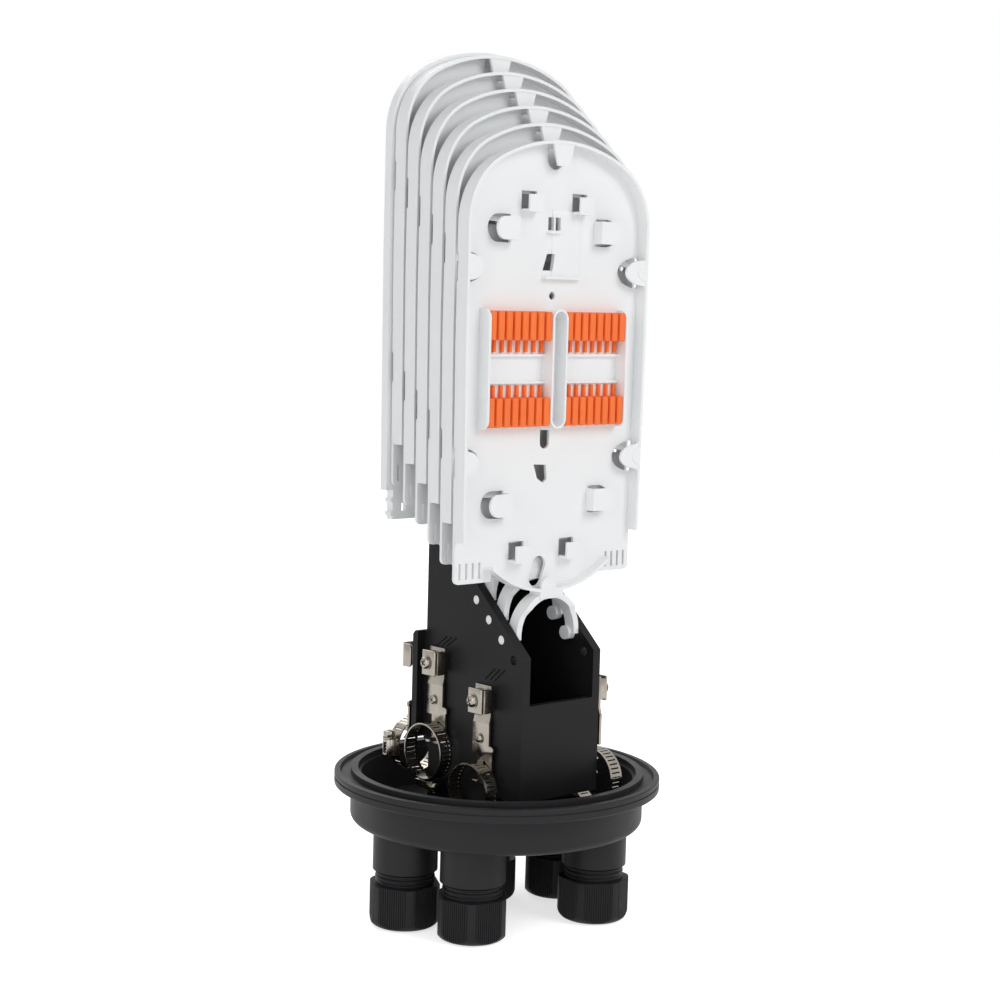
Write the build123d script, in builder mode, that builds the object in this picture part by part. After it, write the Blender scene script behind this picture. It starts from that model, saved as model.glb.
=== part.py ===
from build123d import *
from math import sqrt
import os

os.makedirs("parts", exist_ok=True)

# Dome splice closure, opened: base with cable glands, frame, splice trays, cable anchors.
# Origin at the middle of the footprint, on the surface that the gland nuts stand on.
# +Z runs up through the trays, -Y is the side to which the trays tip. Millimetres.

# Base moulding
flange_radius = 86.0
flange_height = 7.1
flange_edge = 0.9            # rounding of the flange's rim
rim_groove_depth = 0.5       # witness groove round the flange's side
rim_groove_width = 0.8
rim_groove_drop = 3.0        # below the lip
lip_width = 3.0              # raised outer lip of the flange
channel_depth = 1.8          # between the lip and the dome seat
channel_slope = 0.8
seat_radius = 77.3           # the dome slides over this ring
seat_rise = 1.3              # seat above the lip
seat_wall = 3.8
step_depth = 3.2             # inner step below the seat
step_width = 1.6
body_height = 26.3           # underside to the lip
body_rounding = 4.0
bowl_floor = 3.5

# Cable ports and glands
nut_height = 22.3
nut_flats = 34.5
nut_corner_radius = 18.6
nut_rim = 5.0                # rounding of the lower rim
nut_floor = 3.5
nut_opening = 10.6           # radius of the hole under the nut
nut_clearance = 0.1          # nut to thread, radial
thread_show = 7.2            # thread left bare over the nut
thread_radius = 14.4
thread_engaged = 12.3
tube_length = 19.2
tube_radius = 16.8
port_bore = 12.0
seal_bore = 9.5
seal_gap = 0.3
seal_flange = 14.0
seal_neck = 11.8
seal_neck_length = 4.0
port_places = [(-55.6, 6.9), (-42.6, -31.5), (31.6, -43.1), (8.1, 19.6), (47.1, 1.0)]

# Frame
frame_width = 53.8
plate_thickness = 5.0
frame_front = -47.8
frame_back = 28.4
back_flange_half = 31.7      # half width of the lower back plate
back_flange_face = 34.0
back_flange_thickness = 4.0
back_flange_low = 92.0
back_flange_top = 148.0
back_flange_chamfer = 2.0
panel_thickness = 4.0
panel_bottom = 70.0
panel_top = 119.4
plate_front_top = 144.1
plate_top = 207.0
leg_front = -18.0
leg_back = 25.0
leg_cut = 12.0               # slanted cut between the front panel and the leg
leg_waist = 84.0             # height at which the leg meets the back plate
foot_tab_length = 11.0
foot_tab_reach = 8.0
foot_tab_height = 3.0
foot_hole_reach = 4.3        # hole's centre from the plate
foot_places = [-10.0, 17.0]  # along the plates

# Trays
tray_count = 6
hinge_y = -30.4              # first tray's pins
hinge_z = 151.3
tray_pitch_y = 10.0
tray_pitch_z = 9.0
pin_radius = 2.28
pin_clearance = 0.07
pin_setback = 0.3            # pin end inside the plate's outer face
boss_radius = 3.6
boss_length = 4.6
boss_gap = 0.3               # boss to plate
arch_radius = 18.3           # inside of the yoke's arch
arch_centre = 2.2            # arch centre over the pins
arch_back = 0.6              # arch behind the tray's floor
arch_front = 7.4
arm_front = 5.9              # arms are slimmer than the arch, to pass the next pins
arm_height = 12.0
arm_slope = 3.5
neck_width = 16.0
neck_height = 4.0
tray_depth = 8.2
tray_floor = 1.6
tray_wall = 1.6
tray_half_width = 62.0
tray_foot_half_width = 60.4
tray_top = 251.5             # over the pins
crown_half_width = 42.0
crown_drop = 10.0            # crown's ends below its top
shoulder_start = 209.0
taper_start = 150.0
wall_end = 52.0
belly_radius = 67.0
belly_low = 23.6
belly_half_chord = 40.7
foot_low = 30.7
foot_inner = 36.0
foot_corner = 3.0
tie_slot_width = 1.4
tie_slot_length = 8.0
tie_slot_first = 44.0
tie_slot_pitch = 4.3
tie_slot_count = 4
tie_slot_low = 33.0

# Fibre hooks: a thin tongue at the rim's level on a post, over a hole of the same shape
hook_thickness = 1.4
hook_post = 1.4
hook_setback = 0.4
square_hook_width = 9.0
square_hook_length = 7.0
square_hook_x = 17.2
square_hook_high = 218.0
square_hook_low = 42.8
round_hook_width = 10.0
round_hook_length = 9.0
round_hook_x = 35.0
round_hook_high = 203.0
round_hook_low = 66.0
side_hook_width = 15.0
side_hook_length = 9.0
side_hook_high = 186.8
side_hook_low = 91.5
crown_hook_width = 13.0
crown_hook_length = 11.5
belly_hook_width = 7.0
belly_hook_length = 6.5
centre_slot_width = 7.8
centre_slot_height = 6.5
centre_slot_high = 210.3
centre_slot_low = 101.4
label_panel_width = 16.5
label_panel_height = 34.0
label_panel_x = 9.8
label_panel_z = 200.0
label_panel_rise = 0.6
corner_hole_size = 8.4
corner_hole_high = 191.0
corner_hole_low = 83.7
corner_hole_x = 3.2
drain_radius = 2.0
drain_height = 174.2

# Splice holder on each tray
holder_centre = 137.4
holder_height = 60.3
holder_half_width = 48.0
holder_wall = 1.4
holder_rise = 0.8            # proud of the tray's rim
divider_radius = 5.2
divider_wall = 1.1
comb_height = 14.6
comb_base = 2.6
comb_gap = 0.15              # comb to the holder's walls
comb_setback = 0.4           # comb below the holder's walls
comb_end_gap = 1.3           # comb short of the holder's ends
comb_count = 8
comb_slot = 1.2
fin_length = 6.0
fin_width = 2.0

# Cover plate behind the last tray
cover_gap = 0.9
cover_thickness = 4.8
cover_recess = 2.6
cover_wall = 2.4
cover_overhang = 1.9         # wider than a tray, all round
cover_low = 13.1             # over the last tray's pins
cover_lug_width = 12.0
cover_lug_x = 12.0
cover_lug_thickness = 3.0
cover_lug_length = 26.0
cover_lug_screw = 12.0       # screw over the lug's lower end
cover_lug_root = 8.0

# Cable anchors: bent strip, clamp block, hose clamp
strip_thickness = 1.5
strip_width = 12.5
strip_shift = -2.4
strip_step = 1.0             # outward step of the lower part
strip_step_length = 4.0
strip_top_length = 15.6
strip_wide_end = 28.5        # all below the block's centre
strip_low_end = 40.5
strip_low_width = 10.9
strip_low_shift = 0.8
strip_top = 7.3
block_width = 10.9
block_height = 14.5
block_depth = 8.0
block_edge = 0.8
block_screw_shift = -1.6
groove_radius = 1.6
groove_shift = 3.0
prong_width = 3.0
ring_radius = 13.5
ring_width = 8.0
ring_thickness = 0.8
ring_shift = 6.5             # prong from the middle of the ring
ring_rest = 0.3              # slack between prong and band
ring_gap = 0.4               # strip to band
ring_slots = 20
ring_slots_hidden = 5        # left out under the housing
ring_slot_width = 1.5
ring_slot_length = 5.4
prong_over = 1.2             # prong past the band
housing_length = 9.0
housing_height = 6.2
housing_width = 9.4
housing_rounding = 2.4
worm_radius = 2.2
worm_clearance = 0.08
worm_head_radius = 3.3
worm_head_length = 4.0
worm_head_gap = 0.3
worm_slot_width = 1.0
worm_slot_depth = 1.4
front_anchor_height = 119.5  # blocks' centres
back_anchor_height = 133.4
right_anchor_height = 122.0
front_anchor_y = -22.3
back_anchor_y = 15.1
right_anchor_y = -39.0
flange_anchor_x = -26.0

# Screws
screw_radius = 1.5
screw_clearance = 0.1
screw_head_radius = 3.2
screw_head_height = 2.0
screw_slot_width = 0.9
screw_slot_depth = 1.0
screw_grip = 2.6             # thread in the base's floor
plate_screw_grip = 4.0       # thread in the frame

# Places worked out from the sizes above
tube_end = nut_height + thread_show
body_bottom = tube_end + tube_length
lip_top = body_bottom + body_height
flange_bottom = lip_top - flange_height
seat_top = lip_top + seat_rise
floor_top = body_bottom + bowl_floor
thread_end = nut_height - thread_engaged
plate_outer = frame_width / 2
plate_inner = plate_outer - plate_thickness
boss_outer = plate_inner - boss_gap
arch_thickness = boss_outer - arch_radius
hook_front = tray_depth - hook_setback
holder_low = holder_centre - holder_height / 2
holder_high = holder_centre + holder_height / 2
holder_front = tray_depth + holder_rise
comb_inner = divider_radius + comb_gap
comb_outer = holder_half_width - holder_wall - comb_gap
comb_pitch = (comb_outer - comb_inner + comb_slot) / comb_count
slant_rise = tray_pitch_z / tray_pitch_y
plate_top_front = frame_front + (plate_top - plate_front_top) / slant_rise
last_y = hinge_y + (tray_count - 1) * tray_pitch_y
last_z = hinge_z + (tray_count - 1) * tray_pitch_z
belly_middle = belly_low + belly_radius
belly_end = belly_middle - sqrt(belly_radius ** 2 - belly_half_chord ** 2)
foot_screw_x = plate_outer + foot_hole_reach
ring_inner = ring_radius - ring_thickness
strip_face = strip_step + strip_thickness
prong_top = -strip_low_end + strip_thickness
ring_drop = prong_top + ring_rest - sqrt(ring_inner ** 2 - (ring_shift + prong_width / 2) ** 2)
prong_x = strip_low_shift + strip_low_width / 2 - prong_width / 2
ring_x = prong_x - ring_shift
ring_low = strip_face + ring_gap
worm_centre = ring_radius + housing_height / 2


# Each anchor's plane, and the turn of its hose clamp's housing from straight below
anchors = [
    (Plane((-plate_outer, front_anchor_y, front_anchor_height), (0, -1, 0), (-1, 0, 0)), 45),
    (Plane((-plate_outer, back_anchor_y, back_anchor_height), (0, -1, 0), (-1, 0, 0)), 0),
    (Plane((flange_anchor_x, back_flange_face, back_anchor_height), (-1, 0, 0), (0, 1, 0)), 90),
    (Plane((plate_outer, right_anchor_y, right_anchor_height), (0, 1, 0), (1, 0, 0)), 0),
    (Plane((plate_outer, back_anchor_y, back_anchor_height), (0, 1, 0), (1, 0, 0)), 0),
]


def write(solid, name):
    solid.label = name
    export_step(solid, "parts/" + name + ".step")


def cross_head(seat, grip):
    """A pan-head screw with a cross slot, seated on a plane, its shank behind the plane."""
    with BuildPart() as screw:
        with BuildSketch(seat):
            Circle(screw_head_radius)
        extrude(amount=screw_head_height)
        with BuildSketch(seat):
            Circle(screw_radius)
        extrude(amount=-grip)
        with BuildSketch(seat.offset(screw_head_height)):
            Rectangle(screw_head_radius * 1.3, screw_slot_width)
            Rectangle(screw_slot_width, screw_head_radius * 1.3)
        extrude(amount=-screw_slot_depth, mode=Mode.SUBTRACT)
    return screw.part


# Base: one moulding, a turned profile with the port tubes under it
with BuildPart() as base:
    with BuildSketch(Plane.XZ):
        with BuildLine():
            Polyline(
                (0, body_bottom),
                (seat_radius, body_bottom),
                (seat_radius, flange_bottom),
                (flange_radius, flange_bottom),
                (flange_radius, lip_top),
                (flange_radius - lip_width, lip_top),
                (flange_radius - lip_width - channel_slope, lip_top - channel_depth),
                (seat_radius, lip_top - channel_depth),
                (seat_radius, seat_top),
                (seat_radius - seat_wall, seat_top),
                (seat_radius - seat_wall, seat_top - step_depth),
                (seat_radius - seat_wall - step_width, seat_top - step_depth),
                (seat_radius - seat_wall - step_width, floor_top),
                (0, floor_top),
                close=True,
            )
        make_face()
        with Locations((flange_radius, lip_top - rim_groove_drop)):
            Rectangle(2 * rim_groove_depth, rim_groove_width, mode=Mode.SUBTRACT)
    revolve(axis=Axis.Z)
    outer_edges = base.edges().filter_by(GeomType.CIRCLE)
    body_edges = outer_edges.filter_by(lambda e: abs(e.radius - seat_radius) < 0.01).sort_by(Axis.Z)
    fillet(body_edges[0], body_rounding)
    rim_edges = outer_edges.filter_by(lambda e: abs(e.radius - flange_radius) < 0.01).sort_by(Axis.Z)
    fillet([rim_edges[0], rim_edges[-1]], flange_edge)
    with BuildSketch(Plane.XY.offset(body_bottom)):
        with Locations(*port_places):
            Circle(tube_radius)
    extrude(amount=-tube_length)
    with BuildSketch(Plane.XY.offset(tube_end)):
        with Locations(*port_places):
            Circle(thread_radius)
    extrude(amount=thread_end - tube_end)
    with BuildSketch(Plane.XY.offset(thread_end)):
        with Locations(*port_places):
            Circle(port_bore)
    extrude(amount=floor_top - thread_end, mode=Mode.SUBTRACT)
    with BuildSketch(Plane.XY.offset(floor_top)):
        with Locations(*[(side * foot_screw_x, y) for side in (-1, 1) for y in foot_places]):
            Circle(screw_radius + screw_clearance)
    extrude(amount=-screw_grip - screw_clearance, mode=Mode.SUBTRACT)
write(base.part, "base")

# Gland nut, turned and moulded: hexagon with rounded corners and a rounded lower rim
with BuildPart() as nut:
    with BuildSketch():
        RegularPolygon(nut_flats / 2, 6, major_radius=False)
    extrude(amount=nut_height)
    with BuildSketch(Plane.XZ):
        with BuildLine():
            Line((0, 0), (nut_corner_radius - nut_rim, 0))
            RadiusArc((nut_corner_radius - nut_rim, 0), (nut_corner_radius, nut_rim), -nut_rim)
            Line((nut_corner_radius, nut_rim), (nut_corner_radius, nut_height))
            Line((nut_corner_radius, nut_height), (0, nut_height))
            Line((0, nut_height), (0, 0))
        make_face()
    revolve(axis=Axis.Z, mode=Mode.INTERSECT)
    with BuildSketch(Plane.XY.offset(nut_floor)):
        Circle(thread_radius + nut_clearance)
    extrude(amount=nut_height - nut_floor, mode=Mode.SUBTRACT)
    with BuildSketch():
        Circle(nut_opening)
    extrude(amount=nut_floor, mode=Mode.SUBTRACT)

# Rubber seal under each port: a washer with a short neck that fills the bore
with BuildPart() as seal:
    with BuildSketch(Plane.XY.offset(nut_floor + seal_gap)):
        Circle(seal_flange)
    extrude(amount=thread_end - nut_floor - seal_gap)
    with BuildSketch(Plane.XY.offset(thread_end)):
        Circle(seal_neck)
    extrude(amount=seal_neck_length)
    with BuildSketch(Plane.XY.offset(nut_floor + seal_gap)):
        Circle(seal_bore)
    extrude(amount=thread_end + seal_neck_length, mode=Mode.SUBTRACT)

for number, (x, y) in enumerate(port_places, start=1):
    write(nut.part.moved(Location((x, y, 0))), "gland_nut_" + str(number))
    write(seal.part.moved(Location((x, y, 0))), "gland_seal_" + str(number))

# Frame: two side plates, front panel, back panel and back flange in one moulding
with BuildPart() as frame:
    with BuildSketch(Plane.YZ.offset(plate_inner)):
        with BuildLine():
            Polyline(
                (frame_front, panel_bottom),
                (frame_front, plate_front_top),
                (plate_top_front, plate_top),
                (frame_back, plate_top),
                (frame_back, back_flange_top),
                (back_flange_face - back_flange_thickness, back_flange_top),
                (back_flange_face - back_flange_thickness, back_flange_low),
                (leg_back, leg_waist),
                (leg_back, floor_top),
                (leg_front, floor_top),
                (leg_front - leg_cut, panel_bottom),
                close=True,
            )
        make_face()
    extrude(amount=plate_thickness)
    mirror(about=Plane.YZ)
    with BuildSketch(Plane.XZ.offset(-frame_front - panel_thickness)):
        with Locations((0, panel_bottom)):
            Rectangle(2 * plate_inner, panel_top - panel_bottom, align=(Align.CENTER, Align.MIN))
    extrude(amount=panel_thickness)
    with BuildSketch(Plane.XZ.offset(-frame_back)):
        with Locations((0, back_flange_low)):
            Rectangle(2 * plate_inner, plate_top - back_flange_low, align=(Align.CENTER, Align.MIN))
    extrude(amount=panel_thickness)
    with BuildSketch(Plane.XZ.offset(-back_flange_face)):
        with Locations((0, back_flange_low)):
            Rectangle(2 * back_flange_half, back_flange_top - back_flange_low,
                      align=(Align.CENTER, Align.MIN))
    extrude(amount=back_flange_thickness)
    flange_top_edge = frame.edges().filter_by(Axis.X).group_by(Axis.Y)[-1].sort_by(Axis.Z)[-1]
    chamfer(flange_top_edge, back_flange_chamfer)
    with BuildSketch(Plane.XY.offset(floor_top)):
        for y in foot_places:
            for side in (-1, 1):
                with Locations((side * (plate_outer + foot_tab_reach / 2), y)):
                    Rectangle(foot_tab_reach, foot_tab_length)
    extrude(amount=foot_tab_height)
    with BuildSketch(Plane.XY.offset(floor_top)):
        with Locations(*[(side * foot_screw_x, y) for side in (-1, 1) for y in foot_places]):
            Circle(screw_radius + screw_clearance)
    extrude(amount=foot_tab_height, mode=Mode.SUBTRACT)
    with BuildSketch(Plane.YZ.offset(-plate_outer)):
        for step in range(-1, tray_count):
            with Locations((hinge_y + step * tray_pitch_y, hinge_z + step * tray_pitch_z)):
                Circle(pin_radius + pin_clearance)
    extrude(amount=frame_width, mode=Mode.SUBTRACT)
    lug_screw_z = last_z + cover_low - cover_lug_length + cover_lug_screw
    with BuildSketch(Plane.XZ.offset(-frame_back)):
        with Locations((-cover_lug_x, lug_screw_z), (cover_lug_x, lug_screw_z)):
            Circle(screw_radius + screw_clearance)
    extrude(amount=panel_thickness, mode=Mode.SUBTRACT)
    for place, turn in anchors:
        with BuildSketch(place):
            with Locations((block_screw_shift, 0)):
                Circle(screw_radius + screw_clearance)
        extrude(amount=-plate_screw_grip, mode=Mode.SUBTRACT)
write(frame.part, "frame")


def arch_face(grow, low):
    """The trays' outline, grown by a margin and closed by a straight or round lower edge."""
    with BuildSketch() as face:
        with BuildLine():
            right = tray_half_width + grow
            foot = tray_foot_half_width + grow
            top = tray_top + grow
            crown = crown_half_width + grow / 2
            crown_end = tray_top - crown_drop + grow
            Line((foot, low), (right, taper_start))
            Line((right, taper_start), (right, shoulder_start))
            TangentArc((right, shoulder_start), (crown, crown_end), tangent=(0, 1))
            ThreePointArc((crown, crown_end), (0, top), (-crown, crown_end))
            TangentArc((-right, shoulder_start), (-crown, crown_end), tangent=(0, 1))
            Line((-right, shoulder_start), (-right, taper_start))
            Line((-right, taper_start), (-foot, low))
            if grow:
                Line((-foot, low), (foot, low))
            else:
                Line((-foot, low), (-belly_half_chord, low))
                ThreePointArc((-belly_half_chord, low), (0, belly_low), (belly_half_chord, low))
                Line((belly_half_chord, low), (foot, low))
        make_face()
    return face.sketch


rim = arch_face(0, belly_end)
mirrored = (-1, 1)

# Middle of each square or round hook's tongue, and the side on which its post stands
square_hooks = [(side * square_hook_x, z, up) for side in mirrored
                for z, up in ((square_hook_high, 1), (square_hook_low, -1))]
round_hooks = [(side * round_hook_x, z, up) for side in mirrored
               for z, up in ((round_hook_high, 1), (round_hook_low, -1))]
side_hooks = [(side * (tray_half_width - tray_wall), z) for side in mirrored
              for z in (side_hook_high, side_hook_low)]

with BuildSketch() as hook_posts:
    for x, z, up in square_hooks:
        with Locations((x, z + up * (square_hook_length + hook_post) / 2)):
            Rectangle(square_hook_width, hook_post)
    for x, z, up in round_hooks:
        with Locations((x, z + up * (round_hook_length + hook_post) / 2)):
            Rectangle(round_hook_width, hook_post)

with BuildSketch() as hook_holes:
    for x, z, up in square_hooks:
        with Locations((x, z)):
            Rectangle(square_hook_width, square_hook_length)
    for x, z, up in round_hooks:
        with Locations((x, z + up * round_hook_width / 4)):
            Rectangle(round_hook_width, round_hook_length - round_hook_width / 2)
        with Locations((x, z - up * (round_hook_length - round_hook_width) / 2)):
            Circle(round_hook_width / 2)
    for x, z in side_hooks:
        with Locations((x, z)):
            Ellipse(side_hook_length, side_hook_width / 2)
    with Locations((0, tray_top)):
        Rectangle(crown_hook_width, 2 * crown_hook_length)
    with Locations((0, belly_low)):
        Rectangle(belly_hook_width, 2 * belly_hook_length)
    offset(rim, amount=-tray_wall, kind=Kind.INTERSECTION, mode=Mode.INTERSECT)

# Tray, modelled with its pins on the X axis and its floor's back face in the XZ plane
with BuildPart() as tray:
    # Floor with its two feet
    with BuildSketch(Plane.XZ):
        add(rim)
        for side in mirrored:
            with Locations((side * (foot_inner + tray_foot_half_width) / 2, foot_low)):
                Rectangle(tray_foot_half_width - foot_inner, 2 * (belly_end - foot_low),
                          align=(Align.CENTER, Align.MIN))
    extrude(amount=tray_floor)
    # Walls round the rim, left out over the feet, where the tubes come in
    with BuildSketch(Plane.XZ.offset(tray_floor)):
        add(rim)
        offset(rim, amount=-tray_wall, kind=Kind.INTERSECTION, mode=Mode.SUBTRACT)
        for side in mirrored:
            with Locations((side * (belly_half_chord + tray_half_width / 2), wall_end)):
                Rectangle(tray_half_width, 2 * (wall_end - belly_end), align=(Align.CENTER, Align.MAX),
                          mode=Mode.SUBTRACT)
    extrude(amount=tray_depth - tray_floor)
    # Neck and yoke
    with BuildSketch(Plane.XZ):
        with Locations((0, belly_low + tray_wall / 2)):
            Rectangle(neck_width, neck_height, align=(Align.CENTER, Align.MAX))
    extrude(amount=tray_depth)
    with BuildSketch(Plane.XZ.offset(-arch_back)):
        with Locations((0, arch_centre)):
            Circle(boss_outer)
            Circle(arch_radius, mode=Mode.SUBTRACT)
            Rectangle(2 * boss_outer, boss_outer, align=(Align.CENTER, Align.MAX), mode=Mode.SUBTRACT)
        with Locations((arch_radius, 0), (-boss_outer, 0)):
            Rectangle(arch_thickness, arch_centre, align=(Align.MIN, Align.MIN))
    extrude(amount=arch_front + arch_back)
    with BuildSketch(Plane.YZ.offset(-boss_outer)):
        Polygon(
            (-arch_front, -boss_radius),
            (-arm_front, -boss_radius),
            (-arm_front, arm_height),
            (-arch_front, arm_height + arm_slope),
            align=None,
        )
    extrude(amount=2 * boss_outer, mode=Mode.SUBTRACT)
    with BuildSketch(Plane.YZ.offset(boss_outer - boss_length)):
        Circle(boss_radius)
    extrude(amount=boss_length)
    with BuildSketch(Plane.YZ.offset(-boss_outer)):
        Circle(boss_radius)
    extrude(amount=boss_length)
    with BuildSketch(Plane.YZ.offset(boss_outer)):
        Circle(pin_radius)
    extrude(amount=plate_outer - pin_setback - boss_outer)
    with BuildSketch(Plane.YZ.offset(pin_setback - plate_outer)):
        Circle(pin_radius)
    extrude(amount=plate_outer - pin_setback - boss_outer)
    # Splice holder's end walls and round-ended middle divider
    with BuildSketch(Plane.XZ.offset(tray_floor)):
        for side in mirrored:
            with Locations((side * (holder_half_width - holder_wall / 2), holder_centre)):
                Rectangle(holder_wall, holder_height)
        with Locations((0, holder_centre)):
            SlotOverall(holder_height, 2 * divider_radius, rotation=90)
            SlotOverall(holder_height - 2 * divider_wall, 2 * (divider_radius - divider_wall), rotation=90,
                        mode=Mode.SUBTRACT)
    extrude(amount=holder_front - tray_floor)
    # Label panel
    with BuildSketch(Plane.XZ.offset(tray_floor)):
        with Locations((label_panel_x, label_panel_z)):
            Rectangle(label_panel_width, label_panel_height)
    extrude(amount=label_panel_rise)
    # Hooks: posts, tongues, and the holes that the mould leaves under the tongues
    with BuildSketch(Plane.XZ.offset(tray_floor)):
        add(hook_posts.sketch)
    extrude(amount=hook_front - tray_floor)
    with BuildSketch(Plane.XZ):
        add(hook_holes.sketch)
        with Locations((0, centre_slot_high), (0, centre_slot_low)):
            Rectangle(centre_slot_width, centre_slot_height)
        with Locations((-corner_hole_x, corner_hole_high), (-corner_hole_x, corner_hole_low)):
            Rectangle(corner_hole_size, corner_hole_size)
        with Locations((0, drain_height)):
            Circle(drain_radius)
        for side in mirrored:
            for slot in range(tie_slot_count):
                with Locations((side * (tie_slot_first + slot * tie_slot_pitch), tie_slot_low)):
                    Rectangle(tie_slot_width, tie_slot_length, align=(Align.CENTER, Align.MIN))
    extrude(amount=tray_floor, mode=Mode.SUBTRACT)
    with BuildSketch(Plane.XZ.offset(hook_front - hook_thickness)):
        add(hook_holes.sketch)
    extrude(amount=hook_thickness)
    feet = tray.edges().filter_by(Axis.Y).filter_by(lambda e: abs(e.length - tray_floor) < 0.01)
    corners = feet.filter_by(lambda e: abs(abs(e.center().X) - tray_foot_half_width) < 0.01)
    fillet(corners.group_by(Axis.Z)[0], foot_corner)

# Splice holder: four combs that press in between the holder's walls
with BuildPart() as combs:
    comb_low = holder_low + comb_end_gap
    comb_high = holder_high - comb_end_gap
    for side in mirrored:
        for low, end in ((comb_low, 1), (comb_high - comb_height, -1)):
            middle = side * (comb_inner + comb_outer) / 2
            with BuildSketch(Plane.XZ.offset(tray_floor)):
                with Locations((middle, low)):
                    Rectangle(comb_outer - comb_inner, comb_height, align=(Align.CENTER, Align.MIN))
            extrude(amount=comb_base)
            with BuildSketch(Plane.XZ.offset(tray_floor)):
                for ridge in range(comb_count):
                    x = side * (comb_inner + (ridge + 0.5) * comb_pitch - comb_slot / 2)
                    with Locations((x, low)):
                        Rectangle(comb_pitch - comb_slot, comb_height, align=(Align.CENTER, Align.MIN))
                    fin_z = low + comb_height if end > 0 else low
                    with Locations((x, fin_z)):
                        Rectangle(fin_width, 2 * fin_length)
            extrude(amount=holder_front - comb_setback - tray_floor)

for number in range(tray_count):
    place = Location((0, hinge_y + number * tray_pitch_y, hinge_z + number * tray_pitch_z))
    write(tray.part.moved(place), "tray_" + str(number + 1))
    write(combs.part.moved(place), "splice_holder_" + str(number + 1))

# Cover plate behind the last tray, in that tray's own frame: a shallow dish, hollow behind
with BuildPart() as cover:
    back = cover_gap + cover_thickness
    with BuildSketch(Plane.XZ.offset(-back)):
        add(arch_face(cover_overhang, cover_low))
    extrude(amount=cover_thickness)
    with BuildSketch(Plane.XZ.offset(-back)):
        offset(arch_face(cover_overhang, cover_low), amount=-cover_wall, kind=Kind.INTERSECTION)
    extrude(amount=cover_recess, mode=Mode.SUBTRACT)
    lug_back = frame_back + cover_lug_thickness - last_y
    with BuildSketch(Plane.XZ.offset(-lug_back)):
        with Locations(*[(side * cover_lug_x, cover_low - cover_lug_length) for side in mirrored]):
            Rectangle(cover_lug_width, cover_lug_length + cover_lug_root, align=(Align.CENTER, Align.MIN))
    extrude(amount=cover_lug_thickness)
    with BuildSketch(Plane.XZ.offset(-lug_back)):
        with Locations((-cover_lug_x, cover_low), (cover_lug_x, cover_low)):
            Rectangle(cover_lug_width, cover_lug_root, align=(Align.CENTER, Align.MIN))
    extrude(amount=lug_back - back + cover_recess)
    with BuildSketch(Plane.XZ.offset(-lug_back)):
        screw_height = cover_low - cover_lug_length + cover_lug_screw
        with Locations((-cover_lug_x, screw_height), (cover_lug_x, screw_height)):
            Circle(screw_radius + screw_clearance)
    extrude(amount=cover_lug_thickness, mode=Mode.SUBTRACT)
write(cover.part.moved(Location((0, last_y, last_z))), "rear_plate")

# Screws of the frame's feet and of the rear plate's lugs
foot_seats = [Plane((side * foot_screw_x, y, floor_top + foot_tab_height))
              for side in mirrored for y in foot_places]
lug_seats = [Plane((side * cover_lug_x, frame_back + cover_lug_thickness, lug_screw_z), (1, 0, 0), (0, 1, 0))
             for side in mirrored]
foot_screws = [cross_head(seat, foot_tab_height + screw_grip) for seat in foot_seats]
lug_screws = [cross_head(seat, cover_lug_thickness + plate_screw_grip) for seat in lug_seats]
write(Compound(children=foot_screws + lug_screws), "frame_screws")

# Cable anchor, modelled with X along the face that carries it, Y up and Z outwards
with BuildPart() as strip:
    with BuildSketch(Plane.YZ.offset(strip_shift - strip_width / 2)):
        with BuildLine():
            Polyline(
                (strip_top, 0),
                (strip_top, strip_thickness),
                (strip_top - strip_top_length, strip_thickness),
                (strip_top - strip_top_length - strip_step_length, strip_face),
                (-strip_wide_end, strip_face),
                (-strip_wide_end, strip_step),
                (strip_top - strip_top_length - strip_step_length, strip_step),
                (strip_top - strip_top_length, 0),
                close=True,
            )
        make_face()
    extrude(amount=strip_width)
    with BuildSketch(Plane.XY.offset(strip_step)):
        with Locations((strip_low_shift, -strip_low_end)):
            Rectangle(strip_low_width, strip_low_end - strip_wide_end, align=(Align.CENTER, Align.MIN))
    extrude(amount=strip_thickness)
    with BuildSketch(Plane.XY.offset(strip_step)):
        with Locations((prong_x, -strip_low_end)):
            Rectangle(prong_width, strip_thickness, align=(Align.CENTER, Align.MIN))
    extrude(amount=strip_thickness + ring_gap + ring_width + prong_over)
    with BuildSketch():
        with Locations((block_screw_shift, 0)):
            Circle(screw_radius + screw_clearance)
    extrude(amount=strip_thickness, mode=Mode.SUBTRACT)

with BuildPart() as block:
    with BuildSketch(Plane.XY.offset(strip_thickness)):
        Rectangle(block_width, block_height)
        with Locations((block_screw_shift, 0)):
            Circle(screw_radius + screw_clearance, mode=Mode.SUBTRACT)
    extrude(amount=block_depth)
    chamfer(block.edges().filter_by(Axis.Y), block_edge)
    with BuildSketch(Plane.XZ.offset(-block_height / 2)):
        with Locations((groove_shift, strip_thickness)):
            Circle(groove_radius)
    extrude(amount=block_height, mode=Mode.SUBTRACT)

# Hose clamp about its own axis, with its housing straight below
with BuildPart() as band:
    with BuildSketch():
        Circle(ring_radius)
        Circle(ring_inner, mode=Mode.SUBTRACT)
    extrude(amount=ring_width)
    slot_step = 360 / (ring_slots + ring_slots_hidden)
    with BuildSketch(Plane.XZ.offset(-ring_radius)) as slot_sketch:
        with Locations((0, ring_width / 2)):
            Rectangle(ring_slot_width, ring_slot_length)
    slot_cut = extrude(slot_sketch.sketch, amount=2 * ring_thickness, mode=Mode.PRIVATE)
    for slot in range(ring_slots):
        turn = -90 - slot_step * (slot - (ring_slots - 1) / 2) + 90
        add(slot_cut.rotate(Axis.Z, turn), mode=Mode.SUBTRACT)

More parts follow.
